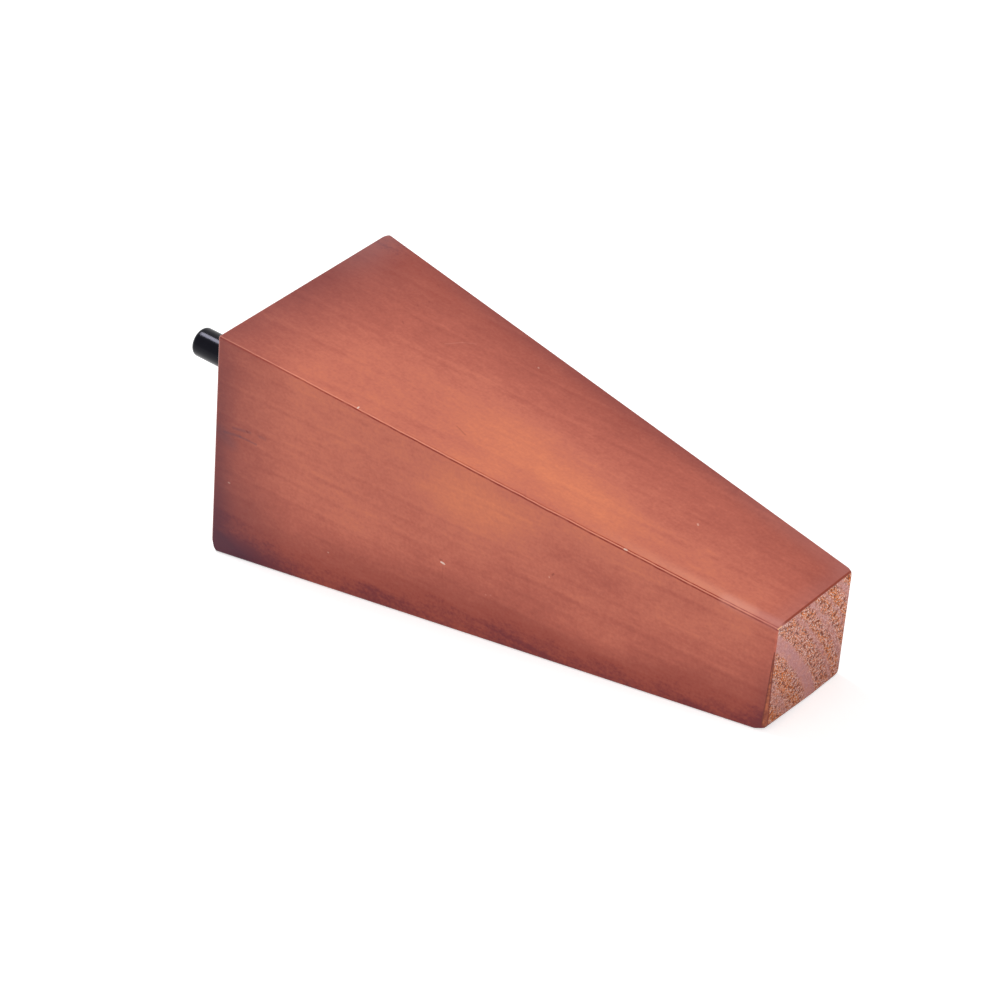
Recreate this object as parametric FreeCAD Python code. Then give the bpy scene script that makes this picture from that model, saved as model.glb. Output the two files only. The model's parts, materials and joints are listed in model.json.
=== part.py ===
"""Square tapered furniture leg with a hanger bolt and a push-on cap over its thread.

Sizes are in millimetres. The leg is drawn along its own axis first: X runs from the middle
of the mounting face to the foot. It is then laid on one of its four flat sides, +Z up, with
the origin on the ground below the middle of its box and the foot towards +X.
"""

import FreeCAD, Part
import math
import os

from FreeCAD import Vector

# Leg
leg_length = 152.4
mounting_width = 63.0
foot_width = 30.0
arris_radius = 0.6
mounting_rim_radius = 0.5
foot_rim_radius = 0.4

# Hanger bolt: a machine thread outside the wood, a plain neck, a screw thread in the wood
stud_diameter = 6.35
stud_length = 31.0
stud_tip_chamfer = 0.8
neck_diameter = 5.5
neck_outside = 4.0
neck_inside = 3.0
screw_core_diameter = 4.7
screw_length = 29.5
screw_point_length = 8.0
screw_point_diameter = 0.8
run_out_angle = 45.0

# Hole for the bolt: a pilot bore for the screw core, and a wider mouth that clears its thread
pilot_clearance = 0.05
pilot_spare_depth = 3.0
drill_point_angle = 118.0
mouth_clearance = 0.2
mouth_depth = 4.5
mouth_chamfer = 0.6

# Thread cap: a tube of soft vinyl, closed and rounded at its outer end
cap_clearance = 0.05
cap_wall = 0.65
cap_end_wall = 0.8
cap_tip_gap = 0.2
cap_mouth_gap = 1.0
cap_rim_radius = 1.2
cap_inner_rim_radius = 0.5
cap_lip_radius = 0.25

# Worked out from the sizes above
taper_angle = math.degrees(math.atan((mounting_width - foot_width) / 2 / leg_length))
stud_radius = stud_diameter / 2
neck_radius = neck_diameter / 2
core_radius = screw_core_diameter / 2
point_radius = screw_point_diameter / 2
bolt_depth = neck_inside + screw_length
pilot_radius = core_radius + pilot_clearance
pilot_depth = bolt_depth + pilot_spare_depth
mouth_radius = stud_radius + mouth_clearance
cap_bore_radius = stud_radius + cap_clearance
cap_radius = cap_bore_radius + cap_wall
cap_bore_end = stud_length + cap_tip_gap
cap_end = cap_bore_end + cap_end_wall

ORIGIN = Vector(0, 0, 0)
LEG_AXIS = Vector(1, 0, 0)
ACROSS = Vector(0, 1, 0)
QUARTER_TURN = 90
ON_PLANE = 1e-6


def sawn_profile():
    """The tapered side view of the leg, as thick as the blank that it is sawn from."""
    half_mounting = mounting_width / 2
    half_foot = foot_width / 2
    points = [
        Vector(0, -half_mounting, -half_mounting),
        Vector(leg_length, -half_mounting, -half_foot),
        Vector(leg_length, -half_mounting, half_foot),
        Vector(0, -half_mounting, half_mounting),
    ]
    outline = Part.makePolygon(points + points[:1])
    return Part.Face(outline).extrude(ACROSS * mounting_width)


def turned(profile):
    """A solid of revolution about the leg's axis, from (x, radius) points."""
    points = [Vector(x, radius, 0) for x, radius in profile]
    outline = Part.makePolygon(points + points[:1])
    return Part.Face(outline).revolve(ORIGIN, LEG_AXIS, 360)


def edges_across(solid, x):
    """The edges that lie in the plane across the axis at x."""
    return [
        edge
        for edge in solid.Edges
        if abs(edge.BoundBox.XMin - x) < ON_PLANE and abs(edge.BoundBox.XMax - x) < ON_PLANE
    ]


def rim(solid, x, radius):
    """The full circle of that radius at x on a turned solid."""
    return [
        edge
        for edge in edges_across(solid, x)
        if isinstance(edge.Curve, Part.Circle) and abs(edge.Curve.Radius - radius) < ON_PLANE
    ]


def run_out(outer_radius, inner_radius):
    """Length of the cone between two diameters of the bolt."""
    return abs(outer_radius - inner_radius) / math.tan(math.radians(run_out_angle))


def make_leg_body():
    """One block of wood, sawn to the same taper in both views, with its arrises sanded round."""
    first_cut = sawn_profile()
    second_cut = sawn_profile()
    second_cut.rotate(ORIGIN, LEG_AXIS, QUARTER_TURN)
    block = first_cut.common(second_cut)
    arrises = [edge for edge in block.Edges if edge.BoundBox.XLength > leg_length / 2]
    block = block.makeFillet(arris_radius, arrises)
    block = block.makeFillet(mounting_rim_radius, edges_across(block, 0))
    block = block.makeFillet(foot_rim_radius, edges_across(block, leg_length))
    return block.cut(make_bolt_hole())


def make_bolt_hole():
    """What the stepped drill takes out of the mounting face."""
    drill_cone = pilot_radius / math.tan(math.radians(drill_point_angle / 2))
    return turned(
        [
            (-mouth_chamfer, 0),
            (-mouth_chamfer, mouth_radius + 2 * mouth_chamfer),
            (mouth_chamfer, mouth_radius),
            (mouth_depth, mouth_radius),
            (mouth_depth, pilot_radius),
            (pilot_depth, pilot_radius),
            (pilot_depth + drill_cone, 0),
        ]
    )


def make_hanger_bolt():
    """The bolt with its threads drawn as plain barrels: the stud's over the crests, the
    screw's at its core, because its crests bite into the wood."""
    stud_end = -neck_outside - run_out(stud_radius, neck_radius)
    screw_start = neck_inside + run_out(neck_radius, core_radius)
    return turned(
        [
            (-stud_length, 0),
            (-stud_length, stud_radius - stud_tip_chamfer),
            (-stud_length + stud_tip_chamfer, stud_radius),
            (stud_end, stud_radius),
            (-neck_outside, neck_radius),
            (neck_inside, neck_radius),
            (screw_start, core_radius),
            (bolt_depth - screw_point_length, core_radius),
            (bolt_depth, point_radius),
            (bolt_depth, 0),
        ]
    )


def make_thread_cap():
    """The cap, pushed home over the stud with its mouth just clear of the wood."""
    cap = turned(
        [
            (-cap_end, 0),
            (-cap_end, cap_radius),
            (-cap_mouth_gap, cap_radius),
            (-cap_mouth_gap, cap_bore_radius),
            (-cap_bore_end, cap_bore_radius),
            (-cap_bore_end, 0),
        ]
    )
    cap = cap.makeFillet(cap_rim_radius, rim(cap, -cap_end, cap_radius))
    cap = cap.makeFillet(cap_inner_rim_radius, rim(cap, -cap_bore_end, cap_bore_radius))
    lip = rim(cap, -cap_mouth_gap, cap_radius) + rim(cap, -cap_mouth_gap, cap_bore_radius)
    return cap.makeFillet(cap_lip_radius, lip)


def lay_on_side(pieces):
    """Tips the leg by its taper, so that its lower side is level, and stands it on the ground."""
    for piece in pieces.values():
        piece.rotate(ORIGIN, ACROSS, taper_angle)
    box = Part.makeCompound(list(pieces.values())).optimalBoundingBox(False, False)
    to_ground = Vector(-box.Center.x, 0, -box.ZMin)
    for piece in pieces.values():
        piece.translate(to_ground)
    return to_ground


pieces = {
    "leg_body": make_leg_body(),
    "hanger_bolt": make_hanger_bolt(),
    "thread_cap": make_thread_cap(),
}
mounting_face_centre = lay_on_side(pieces)

os.makedirs("parts", exist_ok=True)
for name, solid in pieces.items():
    solid.exportStep(f"parts/{name}.step")
    print(f"{name}: {solid.Volume:.1f} mm3, valid {solid.isValid()}")
print(f"mounting face centre {tuple(round(v, 3) for v in mounting_face_centre)}")
print(f"side tilt {taper_angle:.3f} degrees")
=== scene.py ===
# %% [markdown]
# # The looks of a tapered wooden furniture leg
# The object is a square leg of hardwood, 152 mm long, that lies on one of its four flat
# sides. Its wide end is the mounting end. A hanger bolt is screwed into it, and a black
# vinyl cap protects the bolt's thread. The three pieces come from a imported model, which
# says where everything is. This script never moves them: it builds finer copies in the
# same place, gives them their finish, and sets up the photograph of them.
#
# The first step loads the imported model.

import json
import math

import bmesh
import bpy
from mathutils import Color, Matrix, Quaternion, Vector, noise


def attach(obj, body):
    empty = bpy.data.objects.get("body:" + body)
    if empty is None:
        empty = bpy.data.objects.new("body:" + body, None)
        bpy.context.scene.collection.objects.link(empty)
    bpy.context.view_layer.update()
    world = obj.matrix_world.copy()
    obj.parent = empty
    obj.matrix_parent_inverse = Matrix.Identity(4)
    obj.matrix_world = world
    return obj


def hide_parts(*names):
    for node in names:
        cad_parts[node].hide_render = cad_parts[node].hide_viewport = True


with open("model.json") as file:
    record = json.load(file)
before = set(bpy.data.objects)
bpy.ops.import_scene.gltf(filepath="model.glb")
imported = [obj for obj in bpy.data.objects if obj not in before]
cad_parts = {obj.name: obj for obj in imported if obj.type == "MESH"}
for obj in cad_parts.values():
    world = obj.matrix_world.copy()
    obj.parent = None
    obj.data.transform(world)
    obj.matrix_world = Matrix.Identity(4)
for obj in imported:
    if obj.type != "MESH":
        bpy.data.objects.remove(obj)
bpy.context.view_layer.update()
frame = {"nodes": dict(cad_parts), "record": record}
print("nodes", sorted(frame["nodes"]))

# %% [markdown]
# ## The leg's own space
# A leg that is tilted by its own taper is awkward to model and to paint. So each piece is
# modelled upright in the leg's own space, where X runs from the middle of the mounting
# face to the foot, and is laid down at the end by one matrix. The record names the two end
# faces, so the matrix comes from them.

# %% The leg's own space
MM = 0.001
mounts = {mount["name"]: mount for mount in frame["record"]["mounts"]}
mounting_centre = Vector(mounts["mounting_face"]["pos_m"])
mounting_centre.y = 0.0
foot_centre = Vector(mounts["foot_face"]["pos_m"])

leg_length = (foot_centre - mounting_centre).length
mounting_width = 63.0 * MM
foot_width = 30.0 * MM
taper = (mounting_width - foot_width) / 2 / leg_length
tilt = math.atan2(mounting_centre.z - foot_centre.z, foot_centre.x - mounting_centre.x)
laid_down = Matrix.Translation(mounting_centre) @ Matrix.Rotation(tilt, 4, "Y")
print(f"leg {leg_length / MM:.1f} mm long, tilted {math.degrees(tilt):.2f} degrees")

# %% [markdown]
# ## The camera
# The camera stands where the photograph was taken from: in front of the leg, to the right
# and well above it, with a long lens, so that the far edges hardly shrink. It is set first.

# %% The camera
view_azimuth = math.radians(38.58)
view_elevation = math.radians(31.97)
view_roll = math.radians(1.26)
view_distance = 1050.6 * MM
view_target = Vector((1.69, 0.0, 22.71)) * MM
lens_mm = 158.6

towards_camera = Vector((
    math.sin(view_azimuth) * math.cos(view_elevation),
    -math.cos(view_azimuth) * math.cos(view_elevation),
    math.sin(view_elevation),
))
level_look = (-towards_camera).to_track_quat("-Z", "Y")
camera_data = bpy.data.cameras.new("camera")
camera_data.lens = lens_mm
camera_data.sensor_width = 36.0
camera = bpy.data.objects.new("camera", camera_data)
camera.rotation_mode = "QUATERNION"
camera.rotation_quaternion = level_look @ Quaternion((0, 0, 1), -view_roll)
camera.location = view_target + towards_camera * view_distance
camera_data.clip_start = 0.01
camera_data.clip_end = 50.0
bpy.context.scene.collection.objects.link(camera)
bpy.context.scene.camera = camera
bpy.context.scene.view_settings.view_transform = "Standard"
print("camera at", tuple(round(value, 3) for value in camera.location))

# %% [markdown]
# ## Wiring a finish
# A finish in Blender is a graph of nodes. Written out by hand it is long, so one small
# class adds a node, sets it and wires it in a single call. Colours are written as they look
# on a screen, from 0 to 255, and `shade` turns them into the linear light that a shader
# works with.

# %% A class that wires a finish
def shade(red, green, blue):
    """A screen colour, 0 to 255, as the linear colour that a shader takes."""
    linear = Color((red / 255, green / 255, blue / 255)).from_srgb_to_scene_linear()
    return (linear.r, linear.g, linear.b, 1.0)


class Finish:
    """One material, whose nodes are added and wired by short calls."""

    def __init__(self, name, **constants):
        self.material = bpy.data.materials.new(name)
        self.material.use_nodes = True
        self.nodes = self.material.node_tree.nodes
        self.links = self.material.node_tree.links
        self.shader = self.nodes["Principled BSDF"]
        self.colour = None
        for socket, value in constants.items():
            self.shader.inputs[socket.replace("_", " ")].default_value = value

    def feed(self, socket, value):
        if isinstance(value, bpy.types.NodeSocket):
            self.links.new(value, socket)
        else:
            socket.default_value = value

    def add(self, kind, *feeds, **settings):
        """A new node: feeds fill its inputs in order, None leaves one as it is."""
        node = self.nodes.new(kind)
        for setting, value in settings.items():
            setattr(node, setting, value)
        for socket, value in zip(node.inputs, feeds):
            if value is not None:
                self.feed(socket, value)
        return node

    def calc(self, operation, *values):
        return self.add("ShaderNodeMath", *values, operation=operation).outputs[0]

    def rise(self, value, start, end):
        """0 before start, 1 after end, and a soft step between them."""
        node = self.add("ShaderNodeMapRange", value, start, end, 0.0, 1.0)
        node.interpolation_type = "SMOOTHSTEP"
        return node.outputs[0]

    def total(self, *values):
        result = values[0]
        for value in values[1:]:
            result = self.calc("ADD", result, value)
        return result

    def times(self, *values):
        result = values[0]
        for value in values[1:]:
            result = self.calc("MULTIPLY", result, value)
        return result

    def less(self, value):
        return self.calc("SUBTRACT", 1.0, value)

    def fade(self, value, start, end):
        """1 before start, 0 after end, and a soft step between them."""
        return self.less(self.rise(value, start, end))

    def line(self, value, place, width):
        """1 where the value is at that place, fading to 0 at that width away from it."""
        off = self.calc("ABSOLUTE", self.calc("SUBTRACT", value, place))
        return self.fade(off, 0.0, width)

    def seam(self, value, place, width):
        """1 just before that place and -1 just after it, fading to 0 at that width."""
        off = self.calc("SUBTRACT", place, value)
        return self.times(off, self.line(value, place, width), 4.0 / width)

    def stroke(self, point, start, end, width):
        """1 on the straight line between two points, fading to 0 at that width from it."""
        run = Vector(end) - Vector(start)
        offset = self.add("ShaderNodeVectorMath", point, start, operation="SUBTRACT").outputs[0]
        way = run / run.length_squared
        dot = self.add("ShaderNodeVectorMath", offset, way, operation="DOT_PRODUCT")
        share = self.add("ShaderNodeClamp", dot.outputs["Value"], 0.0, 1.0).outputs[0]
        nearest = self.add("ShaderNodeVectorMath", run, operation="SCALE")
        self.feed(nearest.inputs["Scale"], share)
        away = self.add("ShaderNodeVectorMath", offset, nearest.outputs[0], operation="DISTANCE")
        return self.fade(away.outputs["Value"], 0.0, width)

    def mix(self, amount, low, high):
        node = self.nodes.new("ShaderNodeMix")
        node.data_type = "RGBA"
        self.feed(node.inputs[0], amount)
        self.feed(node.inputs[6], low)
        self.feed(node.inputs[7], high)
        return node.outputs[2]

    def ramp(self, value, stops):
        """A colour for each value from 0 to 1, blended between the (place, colour) stops."""
        node = self.add("ShaderNodeValToRGB", value)
        marks = node.color_ramp.elements
        while len(marks) < len(stops):
            marks.new(1.0)
        for mark, (place, colour) in zip(marks, stops):
            mark.position = place
            mark.color = colour
        return node.outputs[0]

    def stretched(self, vector, *factors):
        node = self.add("ShaderNodeVectorMath", vector, factors, operation="MULTIPLY")
        return node.outputs[0]

    def noise(self, vector, scale, detail=2.0):
        """Smooth noise of about -0.5 to 0.5."""
        node = self.add("ShaderNodeTexNoise", vector)
        node.inputs["Scale"].default_value = scale
        node.inputs["Detail"].default_value = detail
        return self.calc("SUBTRACT", node.outputs[0], 0.5)

    def noise_along(self, value, scale, detail=2.0):
        """Smooth noise along one number, of about -0.5 to 0.5."""
        node = self.nodes.new("ShaderNodeTexNoise")
        node.noise_dimensions = "1D"
        self.feed(node.inputs["W"], value)
        node.inputs["Scale"].default_value = scale
        node.inputs["Detail"].default_value = detail
        return self.calc("SUBTRACT", node.outputs[0], 0.5)

    def mottled(self, noise, low, high):
        """A soft change between two colours, from noise."""
        return self.ramp(self.calc("ADD", noise, 0.5), ((0.3, low), (0.7, high)))

    def lay(self, colour, amount, strength=1.0):
        """One more colour over the ones laid before it, as far as the amount says."""
        self.colour = self.mix(self.times(amount, strength), self.colour, colour)

    def paint(self, colour):
        self.feed(self.shader.inputs["Base Color"], colour)

    def relief(self, height, distance, strength=1.0):
        """A bump of that height, 0 to 1, over that distance in metres."""
        node = self.nodes.new("ShaderNodeBump")
        node.inputs["Strength"].default_value = strength
        node.inputs["Distance"].default_value = distance
        self.feed(node.inputs["Height"], height)
        self.links.new(node.outputs[0], self.shader.inputs["Normal"])


print("finish class ready")

# %% [markdown]
# ## Where a point is on the leg
# Toning, grain and wear all follow the leg, so every wood finish first works out where a
# point is in the leg's own space, in millimetres. A Mapping node of the Texture kind undoes
# the matrix that lays the leg down. From there come the gaps to the four sides, and the
# radius of the growth ring that the point is on: the block was sawn from a board whose pith
# is well outside the leg, so the rings cross it as wide arcs.

# %% Where a point is on the leg
half_mounting_mm = mounting_width / 2 / MM
length_mm = leg_length / MM
pith_y_at_mounting = -74.7
pith_z = -54.0
pith_drift = 0.044


class LegPlace:
    """Sockets that say where the shaded point is in the leg's own space, in millimetres."""

    def __init__(self, finish):
        coordinates = finish.nodes.new("ShaderNodeTexCoord")
        mapping = finish.nodes.new("ShaderNodeMapping")
        mapping.vector_type = "TEXTURE"
        mapping.inputs["Location"].default_value = mounting_centre
        mapping.inputs["Rotation"].default_value = (0.0, tilt, 0.0)
        mapping.inputs["Scale"].default_value = (MM, MM, MM)
        finish.links.new(coordinates.outputs["Object"], mapping.inputs["Vector"])
        self.point = mapping.outputs[0]
        split = finish.add("ShaderNodeSeparateXYZ", self.point)
        self.x, self.y, self.z = split.outputs
        half = finish.calc("MULTIPLY_ADD", self.x, -taper, half_mounting_mm)
        self.front_gap = finish.calc("ADD", half, self.y)
        self.back_gap = finish.calc("SUBTRACT", half, self.y)
        self.top_gap = finish.calc("SUBTRACT", half, self.z)
        self.bottom_gap = finish.calc("ADD", half, self.z)
        self.foot_gap = finish.calc("SUBTRACT", length_mm, self.x)
        pith_y = finish.calc("MULTIPLY_ADD", self.x, pith_drift, pith_y_at_mounting)
        self.out_y = finish.calc("SUBTRACT", self.y, pith_y)
        self.out_z = finish.calc("SUBTRACT", self.z, pith_z)
        across = finish.add("ShaderNodeCombineXYZ", 0.0, self.out_y, self.out_z).outputs[0]
        length = finish.add("ShaderNodeVectorMath", across, operation="LENGTH")
        wander = finish.noise(finish.stretched(self.point, 0.012, 0.05, 0.05), 1.0, 1.0)
        self.ring = finish.calc("MULTIPLY_ADD", wander, 1.2, length.outputs["Value"])


print(f"the pith passes {-pith_y_at_mounting} mm in front of and {-pith_z} mm below the axis")

# %% [markdown]
# ## The stain on the four sides
# The leg was stained red-brown, then toned with a spray gun: each long edge was shaded
# darker, and so was the mounting end, while the upper front edge stayed light. One number
# from 0 to 1 says how dark a point is toned, and a ramp turns it into colour. The gun was
# held by hand, so some soft drifts got more colour or less. They are ovals, each given by
# its middle, its reach along and across the leg, and its tone.

# %% The toning of the stain
LIGHTEST = -0.3
STAIN = (
    (-0.30, shade(222, 128, 88)),
    (0.00, shade(204, 113, 83)),
    (0.20, shade(192, 103, 81)),
    (0.40, shade(176, 88, 70)),
    (0.60, shade(161, 76, 60)),
    (0.80, shade(152, 65, 50)),
    (1.00, shade(117, 36, 38)),
)
SPRAY_DRIFTS = (
    ((24, 6, 28), 26, 18, 0.14),
    ((2, 2, 31), 12, 18, 0.16),
    ((70, -23, 25), 16, 6, -0.16),
    ((72, -9, 24), 32, 18, -0.25),
    ((112, 14, 19), 28, 12, -0.17),
    ((46, 20, 26), 18, 6, 0.08),
    ((98, -12, 20), 26, 11, -0.26),
    ((14, -30, 12), 16, 14, -0.06),
    ((42, -27, -7), 18, 10, -0.14),
    ((72, -23, 14), 26, 12, -0.27),
    ((106, -20, 8), 26, 9, 0.13),
    ((109, -19, -9), 22, 8, -0.24),
    ((128, -17, 12), 16, 6, 0.13),
    ((48, 26, -8), 30, 16, -0.16),
    ((104, 20, 5), 26, 12, -0.12),
    ((60, 4, -25), 34, 16, -0.15),
)

stained = Finish(
    "red_brown_stain", Roughness=0.42, Specular_IOR_Level=0.22, Coat_Weight=0.15, Coat_Roughness=0.2,
)
place = LegPlace(stained)
front_top_gap = stained.total(place.front_gap, place.top_gap)
front_bottom_gap = stained.total(place.front_gap, place.bottom_gap)
back_top_gap = stained.total(place.back_gap, place.top_gap)
back_bottom_gap = stained.total(place.back_gap, place.bottom_gap)


def stain_of(value):
    """The stain's colour at that tone."""
    whole = 1.0 - LIGHTEST
    stops = [((stop - LIGHTEST) / whole, colour) for stop, colour in STAIN]
    share = stained.calc("DIVIDE", stained.calc("SUBTRACT", value, LIGHTEST), whole)
    return stained.ramp(share, stops)


def tone_near(gap, width, amount):
    """Toning that fades over that width from an edge or an end."""
    return stained.times(stained.fade(gap, 0.0, width), amount)


def drift_tone(middle, along, across, amount):
    """A soft oval of toning round a point."""
    offset = stained.add("ShaderNodeVectorMath", place.point, middle, operation="SUBTRACT").outputs[0]
    reach = stained.stretched(offset, 1 / along, 1 / across, 1 / across)
    away = stained.add("ShaderNodeVectorMath", reach, operation="LENGTH").outputs["Value"]
    return tone_near(away, 1.0, amount)


toning = stained.total(
    0.28,
    tone_near(front_bottom_gap, 28.0, 0.42),
    tone_near(front_bottom_gap, 16.0, 0.22),
    tone_near(back_top_gap, 36.0, 0.19),
    tone_near(back_top_gap, 20.0, 0.18),
    tone_near(back_bottom_gap, 30.0, 0.40),
    tone_near(front_top_gap, 45.0, -0.09),
    tone_near(place.x, 28.0, 0.21),
    tone_near(place.foot_gap, 10.0, 0.14),
    *[drift_tone(*drift) for drift in SPRAY_DRIFTS],
)
print("stain with", len(STAIN), "tones and", len(SPRAY_DRIFTS), "drifts")

# %% [markdown]
# ## Grain under the stain
# The stain nearly hides the grain, but not quite. Seven layers move the tone a little:
# clouds and mottling of the spray, soft streaks and fine fibres along the wood, flecks, a
# fine speckle, and the growth rings. A ring ends in a thin dark line of late wood, and the
# next one starts light. Their radii are the ones that show at the foot and on the sides.

# %% Grain under the stain
GROWTH_RINGS = (
    52.0, 56.5, 60.5, 64.8, 69.3, 73.0, 77.0, 84.6, 91.0, 95.5, 102.5, 110.4, 118.0, 126.5, 133.0,
)


def grain(along, across, detail=2.0):
    """Noise that is stretched along the leg: waves per millimetre along it and across it."""
    return stained.noise(stained.stretched(place.point, along, across, across), 1.0, detail)


late_wood = stained.total(*[stained.seam(place.ring, radius, 1.3) for radius in GROWTH_RINGS])
broken = stained.rise(grain(0.05, 0.4), -0.15, 0.15)
cloud = grain(0.030, 0.055)
mottle = grain(0.10, 0.17)
streak = stained.noise_along(place.ring, 0.5, 3.0)
fibre = grain(0.28, 1.5)
fleck = grain(0.30, 0.5, 1.0)
speck = stained.noise(place.point, 1.3, 1.0)
tone = stained.total(
    toning,
    stained.times(late_wood, broken, 0.075),
    stained.times(cloud, 0.14),
    stained.times(mottle, 0.25),
    stained.times(streak, 0.07),
    stained.times(fibre, 0.15),
    stained.times(fleck, 0.18),
    stained.times(speck, 0.28),
)
print(len(GROWTH_RINGS), "growth rings")

# %% [markdown]
# ## The line along the front edge
# Where the top and the front meet, the edge was broken with sandpaper before the finish went
# on. Stain gathered in a thin dark line on its front side. Above it a light line is painted on
# the rounding: partly stain rubbed thin there, partly a painted highlight of the rounding.
# Towards the foot a second dark line bounds it on the top. The signed distance across the
# edge tells them apart: it is negative on the top and positive on the front.

# %% The line along the front edge
across_edge = stained.calc("SUBTRACT", place.top_gap, place.front_gap)
lower_to_foot = stained.times(stained.rise(place.x, 5.0, 85.0), 0.52)
higher_again = stained.times(stained.rise(place.x, 132.0, 148.0), -0.16)
wobble = stained.times(stained.noise_along(place.x, 0.15, 2.0), 0.25)
line_place = stained.total(0.17, lower_to_foot, higher_again, wobble)
off_line = stained.calc("SUBTRACT", across_edge, line_place)
near_edge = stained.fade(front_top_gap, 2.0, 2.8)
uneven = stained.calc("MULTIPLY_ADD", stained.noise_along(place.x, 0.35, 2.0), 1.2, 1.0)


def edge_line(off, width, strength):
    """A line that far off the dark one, with a strength that changes along the edge."""
    return stained.times(stained.line(off_line, off, width), near_edge, strength, uneven)


dark_strength = stained.calc("MULTIPLY_ADD", stained.rise(place.x, 10.0, 50.0), 0.35, 0.65)
upper_strength = stained.total(
    stained.times(stained.rise(place.x, 45.0, 75.0), 0.45),
    stained.times(stained.rise(place.x, 90.0, 125.0), 0.55),
)
highlight_line_strength = stained.less(stained.times(stained.rise(place.x, 115.0, 140.0), 0.6))
dark_line = edge_line(0.0, 0.42, dark_strength)
upper_line = edge_line(-0.78, 0.30, upper_strength)
light_and_highlight_line = edge_line(-0.39, 0.30, highlight_line_strength)
dark_lines = stained.calc("MINIMUM", stained.calc("MAXIMUM", dark_line, upper_line), 1.0)
stained.colour = stain_of(tone)
# The light line is partly stain rubbed thin and partly a painted highlight of the rounding.
stained.lay(shade(238, 154, 128), light_and_highlight_line, 0.65)
stained.lay(shade(134, 24, 0), dark_lines)
print("line along the front edge")

# %% [markdown]
# ## The dark toner, the rims and the painted sheen at the corner
# The mounting end got a second, purple-black toner, most of all in the lower front corner.
# It is mixed in over the stain. On the top, a pale mauve sheen is painted near both ends, a
# painted reflection. Stain that ran over the foot's top rim dried as a dark red line. It fades
# out at the front corner, where a pale patch, a sheen along the edge and a glint are painted
# on as highlights. Places round that corner are measured from it.

# %% Toner, rims and painted sheen
TONER = shade(72, 8, 36)
low_down = stained.fade(place.bottom_gap, 30.0, 85.0)
at_mounting = tone_near(place.x, 30.0, 1.0)
between_ends = stained.times(stained.less(at_mounting), stained.rise(place.foot_gap, 0.0, 44.0))
toner = stained.total(
    tone_near(place.x, 26.0, 0.28),
    stained.times(tone_near(place.x, 8.0, 0.38), low_down),
    stained.times(tone_near(back_top_gap, 6.0, 0.30), between_ends),
    stained.times(tone_near(back_top_gap, 14.0, -0.12), at_mounting),
    tone_near(back_bottom_gap, 8.0, 0.30),
    stained.times(tone_near(front_bottom_gap, 30.0, 0.25), at_mounting),
    stained.times(tone_near(front_bottom_gap, 8.0, 0.80), at_mounting),
)
stained.lay(TONER, stained.calc("MINIMUM", toner, 0.95))

on_top_side = stained.fade(place.top_gap, 0.3, 1.2)
near_foot = stained.fade(place.foot_gap, 10.0, 50.0)
# A pale mauve sheen painted on the top near both ends: a painted reflection.
painted_end_sheen = stained.total(
    stained.times(tone_near(place.x, 12.0, 0.18), stained.rise(place.front_gap, 35.0, 60.0)),
    tone_near(place.foot_gap, 6.0, 0.09),
    stained.times(tone_near(back_top_gap, 7.0, 0.11), near_foot),
)
stained.lay(shade(190, 148, 146), painted_end_sheen, on_top_side)
low_at_foot = stained.fade(place.bottom_gap, 6.0, 24.0)
stained.lay(TONER, tone_near(place.foot_gap, 5.0, 0.22), low_at_foot)
print("toner and haze")

# %% Rims and the painted sheen at the corner
foot_rim = stained.fade(place.foot_gap, 0.22, 0.48)
top_rim = stained.times(foot_rim, stained.fade(place.top_gap, 0.5, 0.9))
stained.lay(shade(136, 48, 22), stained.times(top_rim, stained.rise(place.front_gap, 0.8, 3.0)), 0.95)
bottom_rim = stained.times(foot_rim, stained.fade(place.bottom_gap, 0.5, 0.9))
stained.lay(shade(104, 50, 42), bottom_rim, 0.8)
# The mounting end's rim is painted lighter: a painted highlight on its small rounding.
stained.lay(shade(206, 140, 128), stained.fade(place.x, 0.25, 0.55), 0.5)

foot_corner = Vector((length_mm, -foot_width / 2 / MM, foot_width / 2 / MM))


def near_corner(start, end, width):
    """A stroke between two points that are measured from the foot's upper front corner."""
    return stained.stroke(place.point, foot_corner + Vector(start), foot_corner + Vector(end), width)


# A pale patch, a sheen along the edge and a glint at the corner: painted highlights.
painted_corner_sheen = near_corner((-14.0, -0.6, 1.5), (0.0, 1.6, 0.0), 2.6)
painted_edge_sheen = near_corner((-60.0, -5.3, 6.5), (-8.0, 0.0, 0.9), 3.6)
painted_edge_sheen = stained.times(painted_edge_sheen, on_top_side, stained.rise(place.x, 95.0, 135.0), stained.less(dark_lines))
painted_glint = near_corner((0.0, 0.3, -0.4), (0.0, 1.5, -0.35), 0.35)
stained.lay(shade(214, 152, 146), painted_corner_sheen, 0.28)
stained.lay(shade(236, 160, 130), painted_edge_sheen, 0.30)
stained.lay(shade(252, 184, 132), painted_glint)
print("rims and rubbed corner")

# %% [markdown]
# ## Scratches and specks
# The finish has some small marks: pencil-grey streaks near the mounting end, a fine light
# scratch, and dark and pale specks of dust in the lacquer. One dark stroke along the chip's
# upper edge is a painted shadow of the chip. Each is a stroke between two points on a side,
# with a width, a colour and a strength.

# %% Scratches and specks
GREY, DARK = shade(84, 52, 66), shade(120, 44, 34)
LIGHT, PALE = shade(224, 150, 128), shade(250, 210, 190)


def on_top(x, y):
    return (x, y, half_mounting_mm - taper * x)


def on_front(x, z):
    return (x, -half_mounting_mm + taper * x, z)


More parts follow.
